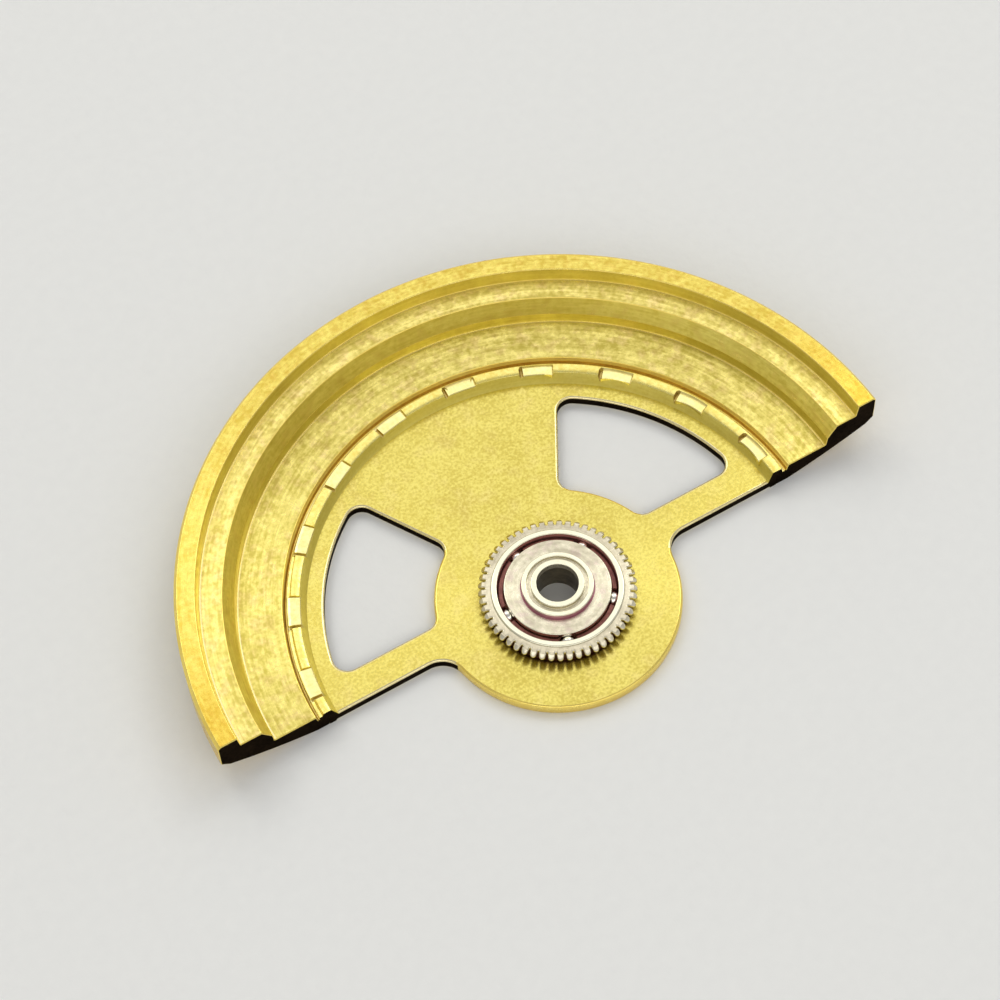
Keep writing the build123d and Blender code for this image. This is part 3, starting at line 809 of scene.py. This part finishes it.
def plainRim(size):
    # outline of the turned rim between two stakes, from its hidden foot round to the slope:
    # each point's radius and height, and the finish of the side that follows
    soft, middle = size["round"], (size["crestOuter"] + size["crestInner"]) / 2
    crest, ledge = size["crest"], size["ledge"]
    high, low = crest - size["slopeHigh"], crest - size["slopeLow"]
    return {
        "footInside": (size["innerWall"], size["bottom"], "plateGold"),
        "footOutside": (size["outer"], size["bottom"], "plateGold"),
        "seatInside": (size["outer"], size["seat"], "grooveGold"),
        "seatOutside": (size["turnedFoot"], size["seat"], "grooveGold"),
        "ledgeFoot": (size["ledgeOuter"] + soft / 2, ledge - soft, "grooveGold"),
        "ledgeOutside": (size["ledgeOuter"] - soft / 2, ledge, size["ledgeFinish"]),
        "ledgeInside": (size["ledgeInner"], ledge + soft / 2, "grooveGold"),
        "crestFoot": (size["crestOuter"] + soft / 4, crest - soft, "crestGold"),
        "crestOutside": (size["crestOuter"] - soft, crest, "crestGold"),
        "crestFirst": (middle + 2 * soft, crest + soft / 4, "crestGold"),
        "crestSecond": (middle + soft, crest + soft / 4, "crestGold"),
        "crestThird": (middle, crest + soft / 4, "crestGold"),
        "crestInside": (size["crestInner"] + soft, crest, "crestGold"),
        "slopeTop": (size["crestInner"] - soft / 2, crest - soft, "slopeGold"),
        "slopeHigh": (slopeSpot(size, high), high, "slopeGold"),
        "slopeLow": (slopeSpot(size, low), low, "slopeGold"),
        "slopeFoot": (size["slopeFoot"], size["web"], "slopeGold"),
        "buriedFoot": (size["slopeFoot"] - size["footIn"], size["web"] - size["footDrop"], "plateGold"),
    }


def stakeMiddle(stake, index):
    angle = stake["centre"] + (index - (stake["count"] - 1) / 2) * stake["pitch"]
    return angle + stake["drift"] * sin(radians(angle))


def stakeOutline(rim, stake, index, away):
    # the same outline where the crest is pressed down and metal is pushed inwards;
    # away is the angle from the stake's middle
    middle = stakeMiddle(stake, index)
    size = rimAt(rim, middle + away)
    outline = plainRim(size)
    shift = -cos(radians(middle))
    across = 2 * away / stake["width"]
    arch = stake["arch"] - stake["archShift"] * shift
    inner = stake["inner"] + stake["innerShift"] * shift + arch * (1 - across ** 2) / 2
    inner += stake["skew"] * across * sin(stake["skewTurn"] * index + stake["skewStart"])
    outer = stake["outer"] + stake["outerShift"] * shift - arch * across ** 2 / 3
    top, soft = stake["top"], size["round"]
    inner = min(inner, slopeSpot(size, top - soft))
    if outer < size["crestOuter"] - stake["leastStrip"]:  # a strip of crest stays outside the stake
        strip = min(outer + stake["slantWide"], size["crestOuter"] - 1.5 * soft)
        outline["crestFirst"] = (strip, size["crest"], "seamGold")
        outline["crestSecond"] = (outer + stake["slantWide"] / 2, top, "seamGold")
        outline["crestThird"] = (outer, top, "stakedGold")
    else:
        if outer > size["ledgeOuter"] - stake["leastLedge"]:
            outline["ledgeFoot"] = (outer + soft, size["ledge"] - 2 * soft, "seamGold")
            outline["ledgeOutside"] = (outer + soft / 2, top - soft, "stakedGold")
            outline["ledgeInside"] = (outer - soft / 2, top - soft / 4, "stakedGold")
        else:
            outline["ledgeInside"] = (outer + soft, size["ledge"] + soft / 2, "seamGold")
        outline["crestFoot"] = (outer - soft, top - soft / 4, "stakedGold")
        outline["crestOutside"] = (outer - 3 * soft, top, "stakedGold")
        for spot, inset in (("crestFirst", 5), ("crestSecond", 7), ("crestThird", 9)):
            outline[spot] = (outer - inset * soft, top + soft / 4, "stakedGold")
    outline["crestInside"] = (inner + soft, top, "stakedGold")
    outline["slopeTop"] = (inner, top - soft, "stakedGold")
    lean = (slopeSpot(size, top) - slopeSpot(size, size["web"])) / (top - size["web"])
    foot = size["web"] + (inner - stake["footGap"] - size["slopeFoot"]) / lean
    foot = min(foot, top - 1.5 * soft)
    outline["slopeHigh"] = (slopeSpot(size, foot), foot, "slopeGold")
    return outline


def gapOutline(rim, stake, index, side):
    # narrow notch at the end of a stake: the outline above its floor is brought down to it
    outline = stakeOutline(rim, stake, index, side * stake["width"] / 2)
    # the wide notch is painted darker than the crest: painted shade
    floor, notchFinish = (stake["wideFloor"], "notchGold") if side > 0 else (stake["thinFloor"], "seamGold")
    stripKept = outline["crestFirst"][1] == rim["crest"]
    spots = list(outline)
    first = spots.index("crestSecond" if stripKept else "ledgeFoot")
    for spot in spots[first:spots.index("slopeLow")]:
        radius, height, finish = outline[spot]
        besideNotch = spot.startswith("ledge") or spot == "slopeHigh"
        outline[spot] = (radius, min(height, floor), finish if besideNotch else notchFinish)
    return outline


def makeRim(size, stake):
    rows = []  # (angle, outline) round the half turn
    half, angle = stake["width"] / 2, 0.0
    thin, wide = stake["gapThin"], stake["gapWide"]
    for index in range(stake["count"] + 1):
        middle = stakeMiddle(stake, index)
        stop = middle - half - thin if index < stake["count"] else 180.0
        steps = max(2, round((stop - angle) / size["step"]))
        places = [angle + (stop - angle) * step / steps for step in range(steps + 1)]
        rows += [(place, plainRim(rimAt(size, place))) for place in places]
        if index == stake["count"]:
            break
        for share in stake["thinNotch"]:
            rows.append((middle - half - thin * share, gapOutline(size, stake, index, -1)))
        for step in range(stake["steps"] + 1):
            away = -half + stake["width"] * step / stake["steps"]
            rows.append((middle + away, stakeOutline(size, stake, index, away)))
        for share in stake["wideNotch"]:
            rows.append((middle + half + wide * share, gapOutline(size, stake, index, 1)))
        angle = middle + half + wide
    rings, sides = [], []
    for angle, outline in rows:
        x, y = onCircle(1, angle)
        rings.append([(radius * x, radius * y, height) for radius, height, finish in outline.values()])
        sides.append([finish for radius, height, finish in outline.values()])
    # the rim's cut ends are painted near black: painted shade
    return sweepMesh("turnedRim", rings, sides, "cutGold")


plateMeshes = [makeWeb(webSize), makeRim(rimSize, stakeSize)]
finishPiece("rotorPlate", plateMeshes, ["rotor_plate"], "rotor")


# Ball bearing: race, gear, core, cone, cage and balls
bearing = {
    "ballPitch": 1.87, "ball": 0.275, "groove": 0.29, "grooveSteps": 12, "ballHeight": 0.60,
    "firstBall": 33.2, "ballCount": 5, "ballRows": 24, "ballColumns": 48,
    "bore": 2.003, "lip": 2.208, "lipRound": 0.045, "body": 2.378, "spigot": 2.223,
    "gearSeat": 0.78, "raceTop": 1.03, "spigotEnd": 0.03, "shoulder": 0.42,
    "soft": 0.03, "steps": 160,
}


def grooveArc(start, end, finish):
    # wall of the ball groove between two angles about the balls' centre circle
    corners = []
    for step in range(bearing["grooveSteps"] + 1):
        angle = radians(start + (end - start) * step / bearing["grooveSteps"])
        radius = bearing["ballPitch"] + bearing["groove"] * cos(angle)
        height = bearing["ballHeight"] + bearing["groove"] * sin(angle)
        corners.append((radius, height, 0, finish))
    return corners


def grooveEdge(radius):
    # angle at which the groove comes out of a wall of this radius
    return degrees(acos((radius - bearing["ballPitch"]) / bearing["groove"]))


def makeRace(size):
    soft, edge = size["soft"], grooveEdge(size["bore"])
    corners = [
        (size["bore"], size["spigotEnd"], soft, "brushedSteel"),
        (size["spigot"], size["spigotEnd"], soft, "brushedSteel"),
        # the shoulder and body under the gear are painted near black: painted shade
        (size["spigot"], size["shoulder"], 0, "oiledSteel"),
        (size["body"], size["shoulder"], soft, "oiledSteel"),
        (size["body"], size["gearSeat"], 0, "brushedSteel"),
        (size["lip"], size["gearSeat"], 0, "polishedSteel"),
        (size["lip"], size["raceTop"], size["lipRound"], "polishedSteel"),
        # the bore wall and groove get the light maroon of the slit: painted light
        (size["bore"], size["raceTop"], soft, "stainedSteel"),
    ]
    corners += grooveArc(edge, -edge, "stainedSteel")
    mesh = turnedRound("outerRace", corners, "polishedSteel", size["steps"])
    finishPiece("outerRace", [mesh], ["outer_race"], "rotor")


# The tooth shares are of the pitch, and flankShare is of the tooth's height
gearSize = {
    "bore": 2.213, "root": 2.398, "tip": 2.638, "teeth": 53, "first": 3.24, "bottom": 0.78, "top": 0.98,
    "footShare": 0.448, "footRise": 0.004, "filletShare": 0.388, "filletRise": 0.03,
    "shoulderShare": 0.37, "flankShare": 0.48, "tipSteps": 6,
    "edge": 0.045, "edgeBulge": 0.3, "topEdge": 0.036, "land": 0.09, "slopeFrom": 2.505, "slope": 0.80,
}


def toothOutline(size):
    # each tooth has straight flanks and a round tip, and the gap's floor follows the root circle
    pitch, root, tipSteps = 360 / size["teeth"], size["root"], size["tipSteps"]
    shoulder = root + size["flankShare"] * (size["tip"] - root)
    footRadius, footAway = root + size["footRise"], size["footShare"] * pitch
    filletRadius, filletAway = root + size["filletRise"], size["filletShare"] * pitch
    tooth = [(footRadius, -footAway), (filletRadius, -filletAway)]
    for step in range(-tipSteps, tipSteps + 1):
        share = step / tipSteps
        lift = sqrt(1 - share * share)
        tooth.append((shoulder + (size["tip"] - shoulder) * lift, share * size["shoulderShare"] * pitch))
    tooth += [(filletRadius, filletAway), (footRadius, footAway), (root, pitch / 2)]
    outline = []
    for index in range(size["teeth"]):
        middle = size["first"] + index * pitch
        outline += [Vector(onCircle(radius, middle + away)) for radius, away in tooth]
    return outline


def makeGear(size):
    outline = toothOutline(size)
    edge, bottom, top = size["edge"], size["bottom"], size["top"]
    # how far the outline is drawn in at each height: the lower edge, then the upper one
    bulge = edge * size["edgeBulge"]
    lower = [(edge, bottom), (bulge, bottom + bulge), (0, bottom + edge)]
    upper = []
    for turn in (0, 22.5, 45, 67.5, 90):
        inset, drop = 1 - cos(radians(turn)), 1 - sin(radians(turn))
        upper.append((size["topEdge"] * inset, top - size["topEdge"] * drop))
    levels = lower + upper
    # the teeth's tops fall away outwards
    falls = [0] * len(lower) + [size["slope"]] * len(upper)
    insets = [shrunk(outline, inset) for inset, height in levels]
    rings = []
    for index, point in enumerate(outline):
        inward = point.normalized() * size["bore"]
        land = point.normalized() * (size["root"] - size["land"])
        ring = [(inward.x, inward.y, bottom), (land.x, land.y, bottom)]
        for inset, (away, height), fall in zip(insets, levels, falls):
            spot = inset[index]
            ring.append((spot.x, spot.y, height - fall * max(spot.length - size["slopeFrom"], 0)))
        flatEnd = spot.normalized() * min(spot.length, size["slopeFrom"])
        ring.append((flatEnd.x, flatEnd.y, top))
        ring += [(land.x, land.y, top), (inward.x, inward.y, top)]
        rings.append(ring)
    # the underside is painted pale and matte: painted light
    sides = ["underSteel"] * 2 + ["toothSteel"] * len(levels) + ["brushedSteel"] * 3
    mesh = sweepMesh("rotorGear", rings, [sides] * len(rings))
    finishPiece("rotorGear", [mesh], ["rotor_gear"], "rotor")


coreSize = {
    "bore": 0.69, "boreBreak": 0.015, "boreLead": 0.03, "boreShadeFrom": 0.24,
    "tube": 0.893, "recess": 1.03, "boss": 1.20, "footRing": 1.24, "flange": 1.78, "stem": 1.24,
    "flangeTop": 1.03, "recessFloor": 1.15, "bossTop": 1.25, "tubeTop": 1.31,
    "soft": 0.025, "fine": 0.015, "steps": 144,
}


def makeCore(size):
    soft, fine = size["soft"], size["fine"]
    corners = [
        (size["bore"], 0, soft, "brushedSteel"),
        (size["stem"], 0, soft, "brushedSteel"),
        (size["stem"], bearing["ballHeight"], 0, "brushedSteel"),
    ]
    corners += grooveArc(180, grooveEdge(size["flange"]), "polishedSteel")
    corners += [
        (size["flange"], size["flangeTop"], soft, "flangeSteel"),
        # the boss's foot and wall are painted dark mauve: painted shade
        (size["footRing"], size["flangeTop"], 0, "footSteel"),
        (size["boss"], size["flangeTop"], 0, "footSteel"),
        (size["boss"], size["bossTop"], soft, "polishedSteel"),
        (size["recess"], size["bossTop"], soft, "brushedSteel"),
        (size["recess"], size["recessFloor"], fine, "brushedSteel"),
        (size["tube"], size["recessFloor"], fine, "brushedSteel"),
        (size["tube"], size["tubeTop"], soft, "polishedSteel"),
        (size["bore"] + size["boreBreak"], size["tubeTop"], fine, "flangeSteel"),
        (size["bore"], size["tubeTop"] - size["boreLead"], fine, "brushedSteel"),
        # below this the bore is painted dark: painted shade
        (size["bore"], size["tubeTop"] - size["boreShadeFrom"], 0, "darkSteel"),
    ]
    mesh = turnedRound("bearingCore", corners, "polishedSteel", size["steps"])
    finishPiece("bearingCore", [mesh], ["bearing_core"], "core")


coneSize = {"inner": 1.245, "outer": 1.76, "bottom": 0.03, "top": 0.595, "soft": 0.025, "steps": 120}


def makeCone(size):
    corners = [
        (size["inner"], size["bottom"], size["soft"], "brushedSteel"),
        (size["outer"], size["bottom"], size["soft"], "brushedSteel"),
    ]
    corners += grooveArc(-grooveEdge(size["outer"]), -180, "polishedSteel")
    corners.append((size["inner"], size["top"], 0, "brushedSteel"))
    mesh = turnedRound("bearingCone", corners, "polishedSteel", size["steps"])
    finishPiece("bearingCone", [mesh], ["bearing_cone"], "core")


cageSize = {
    "inner": 1.80, "outer": 1.963, "bottom": 0.115, "floor": 0.295, "top": 0.80,
    "pocket": 0.315, "postGap": 0.02, "soft": 0.02, "steps": 10,
}


def makeCage(size):
    # crown: a ring under the balls with a post between each two
    halfPocket = angleOf((bearing["ballPitch"], size["pocket"]))
    postStart = halfPocket + size["postGap"]
    pitch, soft, steps = 360 / bearing["ballCount"], size["soft"], size["steps"]
    rows = []
    for index in range(bearing["ballCount"]):
        ball = bearing["firstBall"] + index * pitch
        pocket = (ball - halfPocket, ball + halfPocket, size["floor"])
        post = (ball + postStart, ball + pitch - postStart, size["top"])
        for start, end, top in (pocket, post):
            rows += [(start + (end - start) * step / steps, top) for step in range(steps + 1)]
    rings = []
    for angle, top in rows:
        x, y = onCircle(1, angle)
        section = [
            (size["inner"], size["bottom"]), (size["outer"], size["bottom"]), (size["outer"], top - soft),
            (size["outer"] - soft, top), (size["inner"] + soft, top), (size["inner"], top - soft),
        ]
        rings.append([(radius * x, radius * y, height) for radius, height in section])
    # the cage is dark maroon: bronze with painted shade
    mesh = sweepMesh("ballCage", rings, [["cageBronze"] * len(section)] * len(rings))
    finishPiece("ballCage", [mesh], ["ball_cage"], "cage")


def makeBalls(size):
    # plain balls, each on a body of its own
    columns, rows = size["ballColumns"], size["ballRows"]
    for index in range(size["ballCount"]):
        x, y = onCircle(size["ballPitch"], size["firstBall"] + index * 360 / size["ballCount"])
        shape = bmesh.new()
        bmesh.ops.create_uvsphere(shape, u_segments=columns, v_segments=rows, radius=size["ball"])
        for vertex in shape.verts:
            vertex.co += Vector((x, y, size["ballHeight"]))
        mesh = meshFrom(shape, "ball", ["ballSteel"])
        node = "ball_" + str(index + 1)
        finishPiece("ball" + str(index + 1), [mesh], [node], node)


makeRace(bearing)
makeGear(gearSize)
makeCore(coreSize)
makeCone(coneSize)
makeCage(cageSize)
makeBalls(bearing)
print("bearing done")
